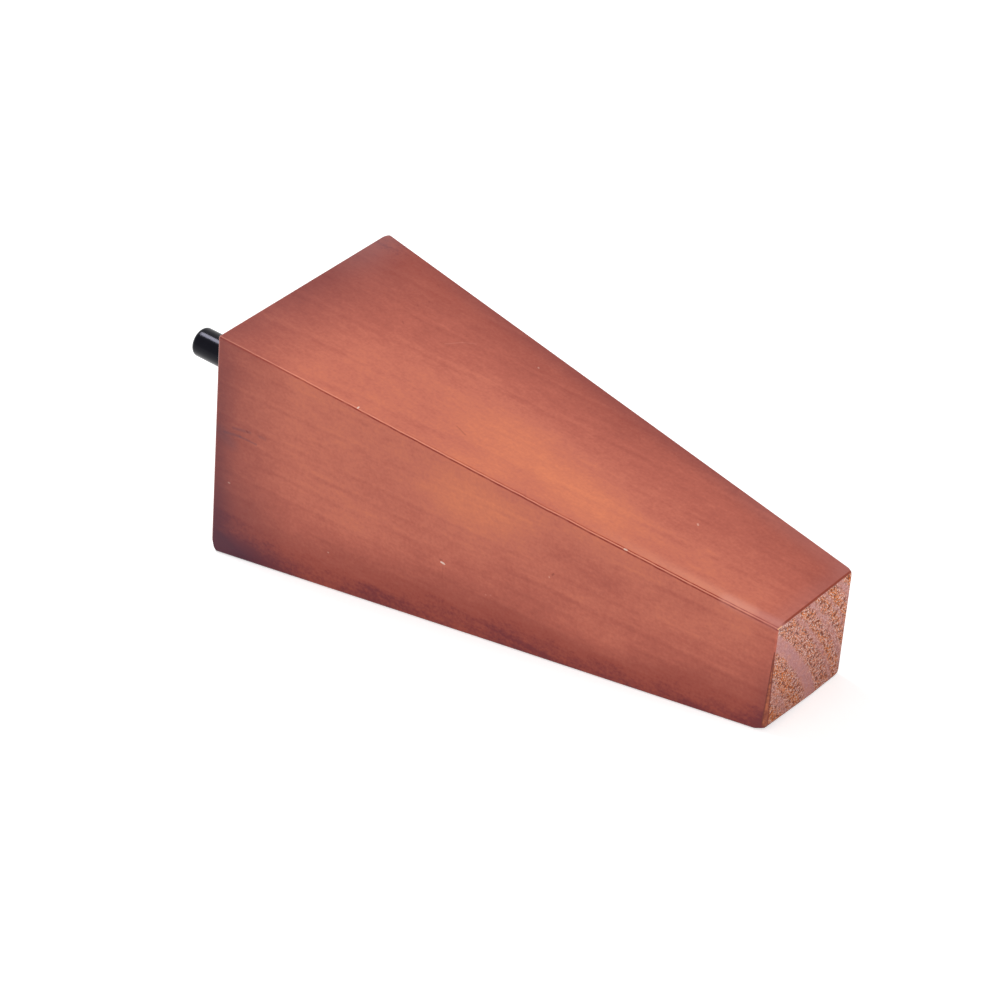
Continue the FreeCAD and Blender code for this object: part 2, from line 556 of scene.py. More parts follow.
MARKS = (
    (on_front(5.2, 7.1), on_front(9.9, 7.8), 0.7, GREY, 0.36),
    (on_front(2.8, 5.0), on_front(7.2, 5.4), 0.7, GREY, 0.40),
    (on_front(7.2, 5.4), on_front(11.8, 5.1), 0.5, GREY, 0.40),
    (on_front(12.7, 7.8), on_front(14.2, 7.7), 0.8, GREY, 0.25),
    (on_front(1.0, 4.8), on_front(5.0, 2.4), 3.0, GREY, 0.25),
    (on_front(94.6, 4.1), on_front(94.3, 3.6), 0.4, DARK, 0.55),
    (on_front(93.5, 2.8), on_front(93.6, 2.6), 0.30, PALE, 0.26),
    (on_front(9.0, 7.8), on_front(9.3, 7.6), 0.4, DARK, 0.8),
    (on_front(4.4, -9.3), on_front(4.7, -9.3), 0.35, PALE, 0.28),
    (on_front(33.4, -17.2), on_front(33.6, -17.2), 0.30, PALE, 0.26),
    (on_front(77.2, -9.9), on_front(77.3, -9.9), 0.35, LIGHT, 0.35),
    (on_front(78.5, -9.5), on_front(78.6, -9.5), 0.35, LIGHT, 0.25),
    # A painted shadow along the chip's upper edge.
    (on_front(64.3, -5.4), on_front(64.9, -5.3), 0.35, DARK, 0.50),
    (on_front(65.2, -7.0), on_front(65.2, -10.5), 0.35, DARK, 0.18),
    (on_top(37.5, 7.7), on_top(39.9, 11.5), 0.28, LIGHT, 0.22),
    (on_top(39.9, 11.5), on_top(42.5, 13.6), 0.28, LIGHT, 0.16),
    (on_top(36.6, 7.4), on_top(38.6, 8.2), 0.30, DARK, 0.2),
    (on_top(21.7, 24.6), on_top(22.6, 24.3), 0.40, DARK, 0.4),
    (on_top(24.4, 17.8), on_top(24.8, 17.6), 0.35, DARK, 0.4),
    (on_top(23.6, 14.5), on_top(23.9, 14.3), 0.30, DARK, 0.4),
    (on_top(25.3, 6.7), on_top(25.9, 6.2), 0.35, DARK, 0.4),
    (on_top(58.0, 18.0), on_top(58.2, 17.9), 0.35, PALE, 0.28),
    (on_top(59.0, -14.4), on_top(62.3, -15.4), 0.35, DARK, 0.3),
    (on_top(118.4, 0.6), on_top(118.7, 0.3), 0.38, PALE, 0.40),
)
for start, end, width, colour, strength in MARKS:
    stained.lay(colour, stained.stroke(place.point, start, end, width), strength)

stained.paint(stained.colour)
orange_peel = stained.noise(place.point, 0.9, 1.0)
stained.relief(stained.calc("ADD", orange_peel, stained.times(fibre, 0.8)), 0.00004, 0.6)
print(len(MARKS), "marks")

# %% [markdown]
# ## End grain
# The two ends show the wood across its fibres. At the foot it was sawn and only got a thin
# coat of stain, so it is rough: a pinkish tan ground with dark pores and pale flecks. The
# growth rings cross it as arcs, some smooth and mauve, some warm with orange specks. The
# pattern is laid out by ring radius and by distance along the ring. The deepest pores are
# cut into the mesh later, and an attribute named pore carries them to this finish, so that
# colour and shape agree. Both ends show the same rings, because it is one piece of wood, but
# the mounting end is darker, because it was stained as well.

# %% End grain
SMOOTH_RINGS = (
    (58.6, 1.2, 0.8), (66.4, 1.8, 0.9), (74.0, 1.0, 0.4), (82.9, 1.75, 0.95), (90.0, 0.7, 0.6),
    (94.4, 0.8, 0.6), (98.4, 0.5, 0.5), (102.7, 0.9, 0.7), (109.5, 1.6, 0.9), (117.0, 1.0, 0.7),
    (125.0, 1.8, 0.8),
)
WARM_RINGS = (
    (62.0, 1.4, 0.7), (70.5, 1.2, 0.8), (77.8, 1.3, 0.9), (91.1, 0.7, 0.7), (97.0, 0.6, 0.6),
    (99.7, 0.9, 0.8), (104.8, 0.9, 0.8), (113.5, 1.4, 0.8), (121.0, 1.2, 0.7),
)
ARC_SCALE_MM = 90.0
RING_SWAY = -0.08


def end_grain(name, ground, mauve, warm, orange, pale, dark):
    """Sawn end grain: pores, flecks and specks on rings of (radius, half width, strength)."""
    finish = Finish(name, Roughness=0.6, Specular_IOR_Level=0.2)
    here = LegPlace(finish)
    angle = finish.calc("ARCTAN2", here.out_z, here.out_y)
    along = finish.times(angle, ARC_SCALE_MM)
    on_rings = finish.add("ShaderNodeCombineXYZ", here.ring, along, 0.0).outputs[0]

    def pattern(across_scale, along_scale, detail=1.0):
        return finish.noise(finish.stretched(on_rings, across_scale, along_scale, 1.0), 1.0, detail)

    ring = finish.calc("MULTIPLY_ADD", pattern(0.55, 0.40, 4.0), 2.0, here.ring)
    ring = finish.calc("MULTIPLY_ADD", here.z, RING_SWAY, ring)

    def bands(rings):
        """1 on those rings, 0 between them."""
        result = 0.0
        for radius, half_width, strength in rings:
            off = finish.calc("ABSOLUTE", finish.calc("SUBTRACT", ring, radius))
            on_band = finish.fade(off, half_width - 0.5, half_width + 0.5)
            result = finish.calc("MAXIMUM", finish.times(on_band, strength), result)
        return result

    def clamped(value):
        return finish.add("ShaderNodeClamp", value, 0.0, 1.0).outputs[0]

    smooth_band = bands(SMOOTH_RINGS)
    rough = finish.less(finish.times(smooth_band, 0.85))
    patches = finish.times(pattern(0.55, 0.30, 2.0), 2.4)
    warm_band = finish.times(bands(WARM_RINGS), 0.6)
    warmth = clamped(finish.total(patches, warm_band, finish.times(smooth_band, -0.5), 0.36))
    finish.colour = finish.mix(warmth, ground, warm)
    blotch = clamped(finish.calc("MULTIPLY_ADD", pattern(0.7, 0.4, 3.0), 3.0, 0.8))
    finish.lay(mauve, smooth_band, blotch)
    specks = finish.total(
        finish.times(finish.rise(pattern(0.9, 0.8), 0.00, 0.12), 0.45),
        finish.times(finish.rise(pattern(1.9, 1.7), 0.02, 0.10), 0.55),
    )
    finish.lay(orange, finish.times(specks, warmth), rough)
    flecks = finish.times(finish.rise(pattern(2.7, 2.2), 0.04, 0.10), rough)
    finish.lay(pale, flecks, 0.9)
    pore = finish.nodes.new("ShaderNodeAttribute")
    pore.attribute_name = "pore"
    fine_pores = finish.times(finish.rise(pattern(2.4, 1.9), 0.06, 0.12), rough)
    pores = finish.calc("MAXIMUM", fine_pores, pore.outputs["Fac"])
    finish.lay(dark, pores, 0.85)
    to_corner = finish.add("ShaderNodeVectorMath", here.point, foot_corner, operation="DISTANCE")
    # Paler within a few millimetres of the upper front corner, and darker towards the bottom.
    finish.lay(pale, finish.fade(to_corner.outputs["Value"], 1.0, 6.0), 0.15)
    finish.lay(dark, finish.fade(here.bottom_gap, -4.0, 30.0), 0.30)
    finish.paint(finish.colour)
    finish.relief(finish.calc("SUBTRACT", flecks, pores), 0.0002, 0.6)
    return finish.material


foot_grain = end_grain(
    "foot_end_grain",
    ground=shade(208, 140, 124), mauve=shade(188, 129, 128), warm=shade(208, 122, 70),
    orange=shade(222, 108, 16), pale=shade(248, 214, 206), dark=shade(100, 34, 10),
)
mounting_grain = end_grain(
    "mounting_end_grain",
    ground=shade(160, 98, 80), mauve=shade(136, 84, 82), warm=shade(146, 82, 62),
    orange=shade(158, 78, 42), pale=shade(180, 120, 98), dark=shade(84, 36, 26),
)
print("end grain for both ends")

# %% [markdown]
# ## Bare wood and the worn edge
# A few small knocks went through the stain, and the bolt's hole was drilled after it. Both
# show the pale wood itself. The slanted flat at the foot was sanded and stained over, so it
# is a brown between the two faces beside it, with a thin dark line along each border.

# %% Bare wood and the worn edge
bare = Finish("bare_wood", Roughness=0.6, Specular_IOR_Level=0.3)
bare_place = LegPlace(bare)
bare_fibre = bare.noise(bare.stretched(bare_place.point, 0.6, 4.0, 4.0), 1.0, 2.0)
bare.paint(bare.mottled(bare_fibre, shade(222, 176, 156), shade(250, 232, 222)))

worn = Finish("worn_edge", Roughness=0.5, Specular_IOR_Level=0.2)
worn_place = LegPlace(worn)
worn_grain = worn.noise(worn_place.point, 1.4, 2.0)
worn_tones = ((0.25, shade(128, 62, 46)), (0.75, shade(176, 98, 68)))
worn.colour = worn.ramp(worn.calc("MULTIPLY_ADD", worn_grain, 1.4, 0.5), worn_tones)
border = worn.calc("MINIMUM", worn_place.foot_gap, worn_place.front_gap)
worn.lay(shade(104, 46, 44), worn.fade(border, 0.05, 0.30), 0.8)
worn.paint(worn.colour)
worn.relief(worn_grain, 0.0001, 0.5)
print("bare wood and worn edge ready")

# %% [markdown]
# ## Shaping with mesh operators
# Three small helpers do most of the modelling: one rounds edges, one turns a profile into a
# round solid as a lathe would, and one cuts or joins solids with an exact Boolean.

# %% Shaping helpers
def round_edges(mesh, edges, radius, segments=3):
    return bmesh.ops.bevel(
        mesh, geom=edges, offset=radius, offset_type="OFFSET", affect="EDGES",
        segments=segments, profile=0.5, material=-1, clamp_overlap=False,
    )


def turned(profile, steps):
    """A closed solid of revolution about X, from (x, radius) points that start and end on X."""
    mesh = bmesh.new()
    points = [mesh.verts.new((x, radius, 0.0)) for x, radius in profile]
    edges = [mesh.edges.new(pair) for pair in zip(points, points[1:])]
    bmesh.ops.spin(
        mesh, geom=points + edges, cent=(0, 0, 0), axis=(1, 0, 0), dvec=(0, 0, 0),
        angle=math.tau, steps=steps, use_merge=True, use_duplicate=False,
    )
    bmesh.ops.remove_doubles(mesh, verts=mesh.verts, dist=1e-7)
    bmesh.ops.recalc_face_normals(mesh, faces=mesh.faces)
    return mesh


def to_piece(mesh, name, *materials):
    """A linked object from a bmesh, with those materials in its slots."""
    data = bpy.data.meshes.new(name)
    mesh.to_mesh(data)
    mesh.free()
    for material in materials:
        data.materials.append(material)
    piece = bpy.data.objects.new(name, data)
    bpy.context.scene.collection.objects.link(piece)
    return piece


def carve(piece, tool, operation="DIFFERENCE"):
    """Cuts the tool out of the piece, or joins it on, and deletes the tool."""
    modifier = piece.modifiers.new("carve", "BOOLEAN")
    modifier.operation = operation
    modifier.solver = "EXACT"
    modifier.material_mode = "TRANSFER"
    modifier.object = tool
    bpy.context.view_layer.update()
    seen = piece.evaluated_get(bpy.context.evaluated_depsgraph_get())
    carved = bpy.data.meshes.new_from_object(seen)
    piece.modifiers.remove(modifier)
    old = piece.data
    piece.data = carved
    carved.name = old.name
    bpy.data.meshes.remove(old)
    tool_data = tool.data
    bpy.data.objects.remove(tool)
    bpy.data.meshes.remove(tool_data)


print("helpers ready")

# %% [markdown]
# ## The block
# The leg starts as a cube whose foot side is scaled down. The mounting end was sawn a little
# out of square, so its back corners are moved along. Then the four long edges are broken with
# a small radius, the back upper one less than the others, and after them the rims of both
# ends. The faces of the two ends get their own material slots, for the end grain.

# %% The block
arris_radius = 0.6 * MM
sharp_arris_radius = 0.4 * MM
out_of_square = 0.3 * MM
mounting_rim_radius = 0.5 * MM
foot_rim_radius = 0.4 * MM
SIDES, FOOT, MOUNTING, BARE, WORN = range(5)
ON_PLANE = 1e-6


def edges_at(mesh, x, reach=ON_PLANE):
    """The edges that lie in the plane across the leg at x, or within that reach of it."""
    return [edge for edge in mesh.edges if all(abs(v.co.x - x) < reach for v in edge.verts)]


block = bmesh.new()
bmesh.ops.create_cube(block, size=1.0)
bmesh.ops.translate(block, verts=block.verts, vec=(0.5, 0.0, 0.0))
bmesh.ops.scale(block, verts=block.verts, vec=(leg_length, mounting_width, mounting_width))
foot_corners = [v for v in block.verts if v.co.x > leg_length / 2]
narrowing = foot_width / mounting_width
bmesh.ops.scale(block, verts=foot_corners, vec=(1.0, narrowing, narrowing))
for vertex in block.verts:
    if vertex.co.x < leg_length / 2 and vertex.co.y > 0:
        vertex.co.x += out_of_square
long_edges = [e for e in block.edges if abs(e.verts[0].co.x - e.verts[1].co.x) > leg_length / 2]
back_top = [e for e in long_edges if all(v.co.y > 0 and v.co.z > 0 for v in e.verts)]
round_edges(block, back_top, sharp_arris_radius)
round_edges(block, [e for e in long_edges if e.is_valid and e not in back_top], arris_radius)
round_edges(block, edges_at(block, 0.0, 1.5 * out_of_square), mounting_rim_radius)
round_edges(block, edges_at(block, leg_length), foot_rim_radius)
for face in block.faces:
    middle = face.calc_center_median().x
    if abs(face.normal.x) > 0.99:
        face.material_index = FOOT if middle > leg_length / 2 else MOUNTING
print("block", len(block.faces), "faces")

# %% [markdown]
# ## Wear at the foot
# The foot's front edge was sanded at a slant: the flat starts at nothing at the top and is
# about a millimetre wide at the bottom. The bottom edge has a smaller flat, widest at the
# front. Each is a plane cut: everything outside the plane goes, and the opening is filled
# with a new flat face.

# %% Wear at the foot
slant_width = 1.05 * MM
heel_height = 1.65 * MM
heel_depth = 1.0 * MM
heel_reach = 23.5 * MM


def plane_cut(mesh, point, outward, material):
    """Takes away what lies outside the plane, and closes the opening with a flat face."""
    bmesh.ops.bisect_plane(
        mesh, geom=mesh.verts[:] + mesh.edges[:] + mesh.faces[:], dist=1e-8,
        plane_co=point, plane_no=outward, clear_outer=True,
    )
    opening = [edge for edge in mesh.edges if edge.is_boundary]
    if opening:
        for face in bmesh.ops.contextual_create(mesh, geom=opening)["faces"]:
            face.material_index = material


def slant_cut(mesh, tip, one_end, other_end, material):
    """A plane cut through three points near the foot."""
    outward = (one_end - tip).cross(other_end - tip).normalized()
    if outward.x < 0:
        outward.negate()
    plane_cut(mesh, tip, outward, material)


half_foot = foot_width / 2
slant_cut(
    block,
    Vector((leg_length, -half_foot, half_foot)),
    Vector((leg_length, -half_foot + slant_width, -half_foot)),
    Vector((leg_length - slant_width, -half_foot, -half_foot)),
    WORN,
)
slant_cut(
    block,
    Vector((leg_length, -half_foot + heel_reach, -half_foot)),
    Vector((leg_length, -half_foot, -half_foot + heel_height)),
    Vector((leg_length - heel_depth, -half_foot, -half_foot)),
    SIDES,
)
print("worn foot", len(block.faces), "faces")

# %% [markdown]
# ## Worn corners
# Knocks and sanding rounded five of the corners. A bevel would round the edges with them, so
# each corner is cut by several planes that all touch one small ball inside it.

# %% Worn corners
def round_corner(mesh, corner, radius):
    """Rounds a corner of the block with planes that all touch one ball inside it."""
    end = 1.0 if corner.x > leg_length / 2 else -1.0
    sides = Vector((end, math.copysign(1.0, corner.y), math.copysign(1.0, corner.z)))
    ball = corner - sides * radius
    for turn in (15.0, 27.0, 39.0, 51.0, 63.0, 75.0):
        for lean in (25.0, 45.0, 65.0):
            across = math.sin(math.radians(lean))
            outward = Vector((
                sides.x * math.cos(math.radians(lean)),
                sides.y * across * math.cos(math.radians(turn)),
                sides.z * across * math.sin(math.radians(turn)),
            ))
            plane_cut(mesh, ball + outward * radius, outward, SIDES)


half_mounting = mounting_width / 2
for corner, radius in (
    ((leg_length, -half_foot, -half_foot), 1.5),
    ((leg_length, half_foot, -half_foot), 0.7),
    ((leg_length, half_foot, half_foot), 0.7),
    ((out_of_square, half_mounting, half_mounting), 1.05),
    ((0.0, -half_mounting, -half_mounting), 1.5),
):
    round_corner(block, Vector(corner), radius * MM)
print("worn corners", len(block.faces), "faces")

# %% [markdown]
# ## The bolt's hole
# The stepped hole is cut with a turned tool of its own shape: a chamfered mouth that clears
# the bolt's thread, and a narrower pilot with the cone that a drill leaves.

# %% The bolt's hole
stud_radius = 6.35 / 2 * MM
mouth_radius = stud_radius + 0.2 * MM
mouth_depth = 4.5 * MM
mouth_chamfer = 0.6 * MM
pilot_radius = 2.4 * MM
pilot_depth = 35.5 * MM
drill_cone = pilot_radius / math.tan(math.radians(59.0))

leg = to_piece(
    block, "leg_block", stained.material, foot_grain, mounting_grain, bare.material, worn.material,
)
bore = turned(
    (
        (-mouth_chamfer, 0.0),
        (-mouth_chamfer, mouth_radius + 2 * mouth_chamfer),
        (mouth_chamfer, mouth_radius),
        (mouth_depth, mouth_radius),
        (mouth_depth, pilot_radius),
        (pilot_depth, pilot_radius),
        (pilot_depth + drill_cone, 0.0),
    ),
    64,
)
carve(leg, to_piece(bore, "drill", bare.material))
print("drilled leg", len(leg.data.polygons), "faces")

# %% [markdown]
# ## The knocks
# Three small knocks show bare wood: a pale chip in the front, and a nick and a dot on the
# front edge. Each is cut with a flattened ball, turned to lie in the side that it marks.

# %% The knocks
KNOCKS_MM = (
    ("chip", (65.1, -24.50, -6.1), (0.75, 0.16, 0.30), 12.0, 0.0),
    ("nick", (39.2, -26.90, 27.25), (0.20, 0.55, 0.22), 0.0, -10.0),
    ("dot", (112.4, -19.26, 19.05), (0.60, 0.20, 0.20), 0.0, 0.0),
)
for name, middle, reach, turn, swing in KNOCKS_MM:
    tool = bmesh.new()
    bmesh.ops.create_icosphere(tool, subdivisions=3, radius=MM)
    bmesh.ops.scale(tool, verts=tool.verts, vec=reach)
    in_side = Matrix.Rotation(math.atan(taper) + math.radians(swing), 3, "Z")
    turned_round = in_side @ Matrix.Rotation(math.radians(turn), 3, "Y")
    bmesh.ops.rotate(tool, verts=tool.verts, cent=(0, 0, 0), matrix=turned_round)
    bmesh.ops.translate(tool, verts=tool.verts, vec=Vector(middle) * MM)
    carve(leg, to_piece(tool, name, bare.material))
print("leg", len(leg.data.polygons), "faces")

# %% [markdown]
# ## Pores in the sawn ends
# A saw leaves end grain rough, and that shape is real, so it goes into the mesh: each end is
# cut into small square cells, and their corners sink in by noise that is laid out along the
# growth rings. The smooth bands stay flat. At the mounting end the saw also left low ridges.
# How deep a corner sank is stored in the attribute that the end grain finish reads.

# %% Cells on the sawn ends
def cut_into_cells(mesh, material, size):
    """Cuts the flat faces of that material into square cells, in the same order each run."""
    for axis in (1, 2):
        direction = Vector((0.0, 0.0, 0.0))
        direction[axis] = 1.0
        left = [face for face in mesh.faces if face.material_index == material]
        places = [vertex.co[axis] for face in left for vertex in face.verts]
        lines = int((max(places) - min(places)) / size)
        for line in range(1, lines):
            place = min(places) + line * size
            edges = dict.fromkeys(edge for face in left for edge in face.edges)
            vertices = dict.fromkeys(vertex for face in left for vertex in face.verts)
            cut = bmesh.ops.bisect_plane(
                mesh, geom=left + list(edges) + list(vertices), dist=1e-8,
                plane_co=direction * place, plane_no=direction,
            )
            faces = [item for item in cut["geom"] if isinstance(item, bmesh.types.BMFace)]
            left = [face for face in faces if face.calc_center_median()[axis] > place]


def ring_place(point):
    """The radius of the growth ring at a point of the leg, and the way along it, in mm."""
    out_y = point.y / MM - pith_y_at_mounting - pith_drift * point.x / MM
    out_z = point.z / MM - pith_z
    sway = RING_SWAY * point.z / MM
    return math.hypot(out_y, out_z) + sway, math.atan2(out_z, out_y) * ARC_SCALE_MM


def soft_step(value, start, end):
    share = min(1.0, max(0.0, (value - start) / (end - start)))
    return share * share * (3.0 - 2.0 * share)


ends = bmesh.new()
ends.from_mesh(leg.data)
cut_into_cells(ends, FOOT, 0.3 * MM)
cut_into_cells(ends, MOUNTING, 0.7 * MM)
print("leg with cells", len(ends.faces), "faces")

# %% Pores and saw marks
pore_depth = 0.14 * MM
lump_depth = 0.05 * MM
ridge_depth = 0.05 * MM
ridge_spacing_mm = 2.3
pore_layer = ends.verts.layers.float.new("pore")
for vertex in ends.verts:
    kinds = {face.material_index for face in vertex.link_faces}
    if kinds not in ({FOOT}, {MOUNTING}):
        continue
    radius, along = ring_place(vertex.co)
    in_band = max(
        strength * (1.0 - soft_step(abs(radius - band_radius), half_width - 0.5, half_width + 0.5))
        for band_radius, half_width, strength in SMOOTH_RINGS
    )
    pit = soft_step(noise.noise((radius * 1.3, along * 1.1, 0.0)), 0.05, 0.40)
    lump = noise.noise((radius * 0.45, along * 0.35, 9.0))
    if kinds == {FOOT}:
        vertex[pore_layer] = pit * (1.0 - 0.85 * in_band)
        hollow = lump_depth * (0.5 + 0.5 * lump) * (1.0 - in_band)
        vertex.co.x -= pore_depth * vertex[pore_layer] + hollow
    else:
        across_saw = (vertex.co.y + 0.12 * vertex.co.z) / MM
        ridge = 0.5 + 0.5 * math.sin(math.tau * across_saw / ridge_spacing_mm)
        vertex[pore_layer] = 0.6 * pit
        vertex.co.x += 0.5 * pore_depth * pit + ridge_depth * ridge * (0.6 + 0.4 * lump)
ends.to_mesh(leg.data)
ends.free()
print("pores cut")

# %% [markdown]
# ## The leg in its place
# The finished mesh is laid down by the matrix from the start. Smooth shading with weighted
# normals keeps the flat sides flat, and lets the small roundings catch the light.

# %% The leg in its place
leg.data.transform(laid_down)
for polygon in leg.data.polygons:
    polygon.use_smooth = True
weighted = leg.modifiers.new("weighted_normals", "WEIGHTED_NORMAL")
weighted.weight = 100
weighted.keep_sharp = True
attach(leg, "leg")
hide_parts("leg_body")
print("leg in place")

# %% [markdown]
# ## Zinc plate and vinyl
# The bolt is bright zinc: a metal with a slightly brushed, faintly blue-grey tone. The cap
# is dipped black vinyl: nearly black, smooth and glossy.

# %% Zinc plate and vinyl
zinc = Finish("zinc_plate", Metallic=1.0, Roughness=0.32)
zinc_coordinates = zinc.nodes.new("ShaderNodeTexCoord").outputs["Object"]
zinc_tone = zinc.noise(zinc_coordinates, 900.0, 3.0)
zinc.paint(zinc.mottled(zinc_tone, shade(150, 152, 156), shade(190, 190, 188)))

vinyl = Finish(
    "black_vinyl", Roughness=0.20, Specular_IOR_Level=0.35, Specular_Tint=(0.26, 0.255, 0.36, 1.0),
)
vinyl_coordinates = vinyl.nodes.new("ShaderNodeTexCoord").outputs["Object"]
vinyl_tone = vinyl.noise(vinyl_coordinates, 400.0, 2.0)
vinyl.paint(vinyl.mottled(vinyl_tone, shade(1, 1, 3), shade(4, 4, 8)))
vinyl.relief(vinyl.noise(vinyl_coordinates, 250.0, 1.0), 0.00003, 0.3)
print("zinc and vinyl ready")

# %% [markdown]
# ## The hanger bolt
# The cap hides the bolt until it is pulled off, and then its threads are the finest thing
# to see. A thread is one tooth, swept round and along at the same time: the spin operator
# does that when it is given a step along the axis. The sweep runs a little too far at both
# ends and is cut off square.

# %% A threaded rod
def threaded_rod(tooth, pitch, start, end, steps):
    """A closed rod along X with a right-hand thread: tooth has (share of pitch, radius) points."""
    mesh = bmesh.new()
    points = [mesh.verts.new((start - pitch + share * pitch, radius, 0.0)) for share, radius in tooth]
    edges = [mesh.edges.new(pair) for pair in zip(points, points[1:])]
    turns = math.ceil((end - start) / pitch) + 1
    bmesh.ops.spin(
        mesh, geom=points + edges, cent=(0, 0, 0), axis=(1, 0, 0), dvec=(pitch / steps, 0, 0),
        angle=math.tau * turns, steps=steps * turns, use_merge=False, use_duplicate=False,
    )
    bmesh.ops.remove_doubles(mesh, verts=mesh.verts, dist=0.01 * MM)
    for x, side in ((start, -1.0), (end, 1.0)):
        bmesh.ops.bisect_plane(
            mesh, geom=mesh.verts[:] + mesh.edges[:] + mesh.faces[:], dist=1e-8,
            plane_co=(x, 0, 0), plane_no=(side, 0, 0), clear_outer=True,
        )
        rim = [edge for edge in mesh.edges if all(abs(v.co.x - x) < ON_PLANE for v in edge.verts)]
        bmesh.ops.contextual_create(mesh, geom=rim)
    bmesh.ops.recalc_face_normals(mesh, faces=mesh.faces)
    return mesh


def turn_down(mesh, largest_radius):
    """Moves every point in to the radius that the function allows at its x."""
    for vertex in mesh.verts:
        radius = math.hypot(vertex.co.y, vertex.co.z)
        allowed = largest_radius(vertex.co.x)
        if radius > allowed:
            vertex.co.y *= allowed / radius
            vertex.co.z *= allowed / radius


print("rod helpers ready")

# %% [markdown]
# ## From two rods to one bolt
# The bolt has a machine thread outside the wood and a coarse screw thread inside it, with a
# plain neck between them. The stud's two ends are turned down and the screw narrows to a
# point, as on a real bolt, and a Boolean joins the three.

# %% The bolt
stud_end = -31.0 * MM
stud_start = -4.0 * MM
stud_pitch = 1.27 * MM
stud_root_radius = stud_radius - 0.62 * MM
tip_chamfer = 0.8 * MM
neck_radius = 5.5 / 2 * MM
neck_inside = 3.0 * MM
screw_end = 32.5 * MM
screw_pitch = 2.4 * MM
screw_core_radius = 4.7 / 2 * MM
screw_crest_radius = 3.1 * MM
screw_point = 8.0 * MM
point_radius = 0.4 * MM

stud_tooth = (
    (0.0, stud_root_radius), (0.12, stud_root_radius), (0.44, stud_radius),
    (0.56, stud_radius), (0.88, stud_root_radius), (1.0, stud_root_radius),
)
stud = threaded_rod(stud_tooth, stud_pitch, stud_end, stud_start, 40)
turn_down(stud, lambda x: stud_radius - tip_chamfer + (x - stud_end))
turn_down(stud, lambda x: neck_radius + max(0.0, stud_start - x))

screw_tooth = (
    (0.0, screw_core_radius), (0.30, screw_core_radius), (0.48, screw_crest_radius),
    (0.52, screw_crest_radius), (0.70, screw_core_radius), (1.0, screw_core_radius),
)
screw = threaded_rod(screw_tooth, screw_pitch, neck_inside, screw_end, 40)
point_share = point_radius / screw_core_radius
for vertex in screw.verts:
    left = (screw_end - vertex.co.x) / screw_point
    if left < 1.0:
        narrow = point_share + (1.0 - point_share) * left
        vertex.co.y *= narrow
        vertex.co.z *= narrow
neck = turned(
    (
        (stud_start - 0.2 * MM, 0.0),
        (stud_start - 0.2 * MM, neck_radius - 0.01 * MM),
        (neck_inside + 0.2 * MM, neck_radius - 0.01 * MM),
        (neck_inside + 0.2 * MM, 0.0),
    ),
    80,
)
bolt = to_piece(stud, "zinc_hanger_bolt", zinc.material)
carve(bolt, to_piece(neck, "neck_tool", zinc.material), "UNION")
carve(bolt, to_piece(screw, "screw_tool", zinc.material), "UNION")
print("bolt", len(bolt.data.polygons), "faces")

# %% [markdown]
# ## The cap
# The cap was dipped: a hot steel pin went into liquid vinyl and came out with a skin. So it
# is a plain tube with one closed end and a soft round rim, not quite even in thickness. The
# profile runs from the middle of the outer end, round the rim, along the outside, over the
# lip and back inside. A few slow waves keep its highlights from looking machined.

# %% The cap
cap_bore_radius = stud_radius + 0.05 * MM
cap_radius = cap_bore_radius + 0.65 * MM
cap_mouth = -1.0 * MM
cap_bore_end = stud_end - 0.2 * MM
cap_end = cap_bore_end - 0.8 * MM
cap_rim_radius = 1.2 * MM
cap_inner_rim_radius = 0.5 * MM
cap_lip_radius = 0.25 * MM


def arc(x, radius, round_radius, start, end, steps):
    """Points on a circle round (x, radius), between two angles in degrees."""
    angles = [math.radians(start + (end - start) * step / steps) for step in range(steps + 1)]
    return [(x + round_radius * math.cos(a), radius + round_radius * math.sin(a)) for a in angles]


def straight(start, end, steps):
    """Points between two ends, without the ends."""
    shares = [step / steps for step in range(1, steps)]
    return [tuple(a + (b - a) * share for a, b in zip(start, end)) for share in shares]


rim = arc(cap_end + cap_rim_radius, cap_radius - cap_rim_radius, cap_rim_radius, 180, 90, 10)
outer_lip = arc(cap_mouth - cap_lip_radius, cap_radius - cap_lip_radius, cap_lip_radius, 90, 0, 4)
inner_lip = arc(cap_mouth - cap_lip_radius, cap_bore_radius + cap_lip_radius, cap_lip_radius, 0, -90, 4)
inner_rim = arc(
    cap_bore_end + cap_inner_rim_radius, cap_bore_radius - cap_inner_rim_radius,
    cap_inner_rim_radius, 90, 180, 4,
)
skin = (
    [(cap_end, 0.0)] + straight((cap_end, 0.0), rim[0], 6) + rim
    + straight(rim[-1], outer_lip[0], 40) + outer_lip + inner_lip
    + straight(inner_lip[-1], inner_rim[0], 20) + inner_rim + [(cap_bore_end, 0.0)]
)
cap_mesh = turned(skin, 72)
for vertex in cap_mesh.verts:
    radius = math.hypot(vertex.co.y, vertex.co.z)
    if radius > cap_bore_radius + 0.3 * MM and vertex.co.x < cap_mouth - 0.5 * MM:
        turn = math.atan2(vertex.co.z, vertex.co.y)
        wave = math.sin(vertex.co.x / (2.6 * MM) + turn) + math.sin(vertex.co.x / (4.1 * MM) - 2 * turn)
        thin = 1.0 - (0.008 + 0.004 * wave) * MM / radius
        vertex.co.y *= thin
        vertex.co.z *= thin
cap = to_piece(cap_mesh, "vinyl_thread_cap", vinyl.material)
print("cap", len(cap.data.polygons), "faces")

# %% The bolt and the cap in their places
for piece, node, body, slot in (
    (bolt, "hanger_bolt", "leg", "zinc_steel"),
    (cap, "thread_cap", "cap", "black_vinyl"),
):
    piece.data.transform(laid_down)
    piece.data.shade_smooth()
    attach(piece, body)
    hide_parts(node)
bolt.data.set_sharp_from_angle(angle=math.radians(32.0))
print("bolt and cap in place")

# %% [markdown]
# ## The studio
# The leg lies on a plain pale floor in an even white world. The background is white to the
# camera and in reflections, but the light that falls on the leg comes only from the lamps
# and a plain fill. A little glow brings the floor up to white and leaves the leg's shadow.

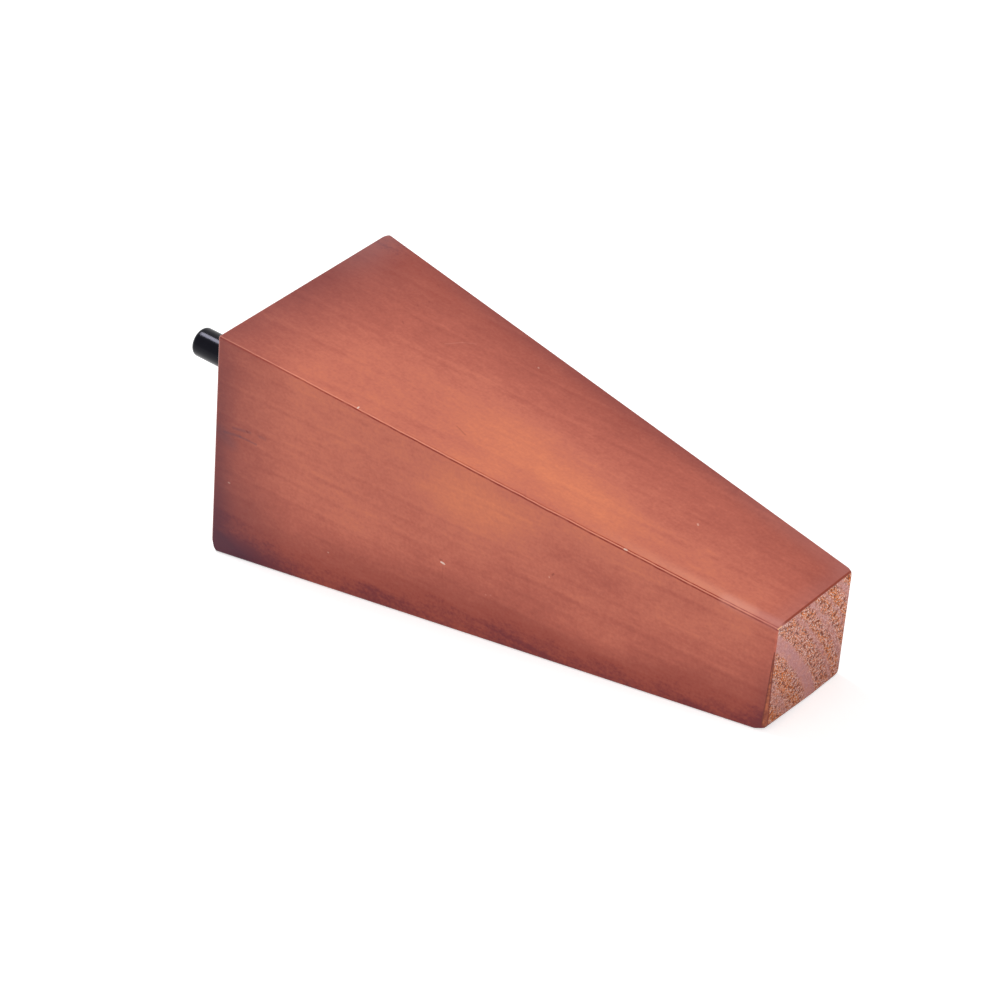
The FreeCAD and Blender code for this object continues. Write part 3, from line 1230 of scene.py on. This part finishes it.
# %% The floor and the world
FLOOR_SIZE = 12.0
floor_mesh = bmesh.new()
bmesh.ops.create_grid(floor_mesh, x_segments=1, y_segments=1, size=FLOOR_SIZE / 2)
bmesh.ops.translate(floor_mesh, verts=floor_mesh.verts, vec=(0.0, 0.0, -0.05 * MM))
paper = Finish("pale_floor", Roughness=0.9, Specular_IOR_Level=0.0)
paper.paint(shade(235, 235, 235))
floor = to_piece(floor_mesh, "floor", paper.material)


def seen_directly(nodes, links):
    """1 for camera, glossy and transmission rays, 0 for the rays that carry fill light."""
    path = nodes.new("ShaderNodeLightPath")
    value = path.outputs["Is Camera Ray"]
    for other in ("Is Glossy Ray", "Is Transmission Ray"):
        either = nodes.new("ShaderNodeMath")
        either.operation = "MAXIMUM"
        links.new(value, either.inputs[0])
        links.new(path.outputs[other], either.inputs[1])
        value = either.outputs[0]
    return value


paper_seen = seen_directly(paper.nodes, paper.links)
paper.feed(paper.shader.inputs["Emission Color"], (1.0, 1.0, 1.0, 1.0))
paper.feed(paper.shader.inputs["Emission Strength"], paper.times(paper_seen, 0.52))

fill_strength = 0.46
world = bpy.data.worlds.new("studio")
world.use_nodes = True
bpy.context.scene.world = world
background = world.node_tree.nodes["Background"]
background.inputs["Color"].default_value = (1.0, 1.0, 1.0, 1.0)
seen = seen_directly(world.node_tree.nodes, world.node_tree.links)
level = world.node_tree.nodes.new("ShaderNodeMapRange")
level.inputs["To Min"].default_value = fill_strength
level.inputs["To Max"].default_value = 1.0
world.node_tree.links.new(seen, level.inputs["Value"])
world.node_tree.links.new(level.outputs[0], background.inputs["Strength"])
print("floor", FLOOR_SIZE, "m across, fill", fill_strength)

# %% [markdown]
# ## The lamps
# A narrow soft lamp overhead lights the upper side. Two wide ones light the front and the
# foot, each a little differently, so that the three sides in view have tones of their own.

# %% The lamps
def softbox(name, direction, distance, width, height, watts):
    """A soft lamp in that direction from the leg, turned to face it."""
    data = bpy.data.lights.new(name, "AREA")
    data.shape = "RECTANGLE"
    data.size = width
    data.size_y = height
    data.energy = watts
    lamp = bpy.data.objects.new(name, data)
    lamp.location = Vector(direction).normalized() * distance
    lamp.rotation_mode = "QUATERNION"
    lamp.rotation_quaternion = Vector(direction).to_track_quat("Z", "Y")
    bpy.context.scene.collection.objects.link(lamp)


softbox("overhead_softbox", (-0.47, 0.03, 0.88), 1.45, 0.50, 0.16, 9.5)
softbox("front_softbox", (0.0, -0.93, 0.35), 1.6, 1.4, 1.0, 5.6)
softbox("foot_softbox", (0.93, -0.10, 0.35), 1.6, 1.2, 1.0, 9.0)
print("three lamps")
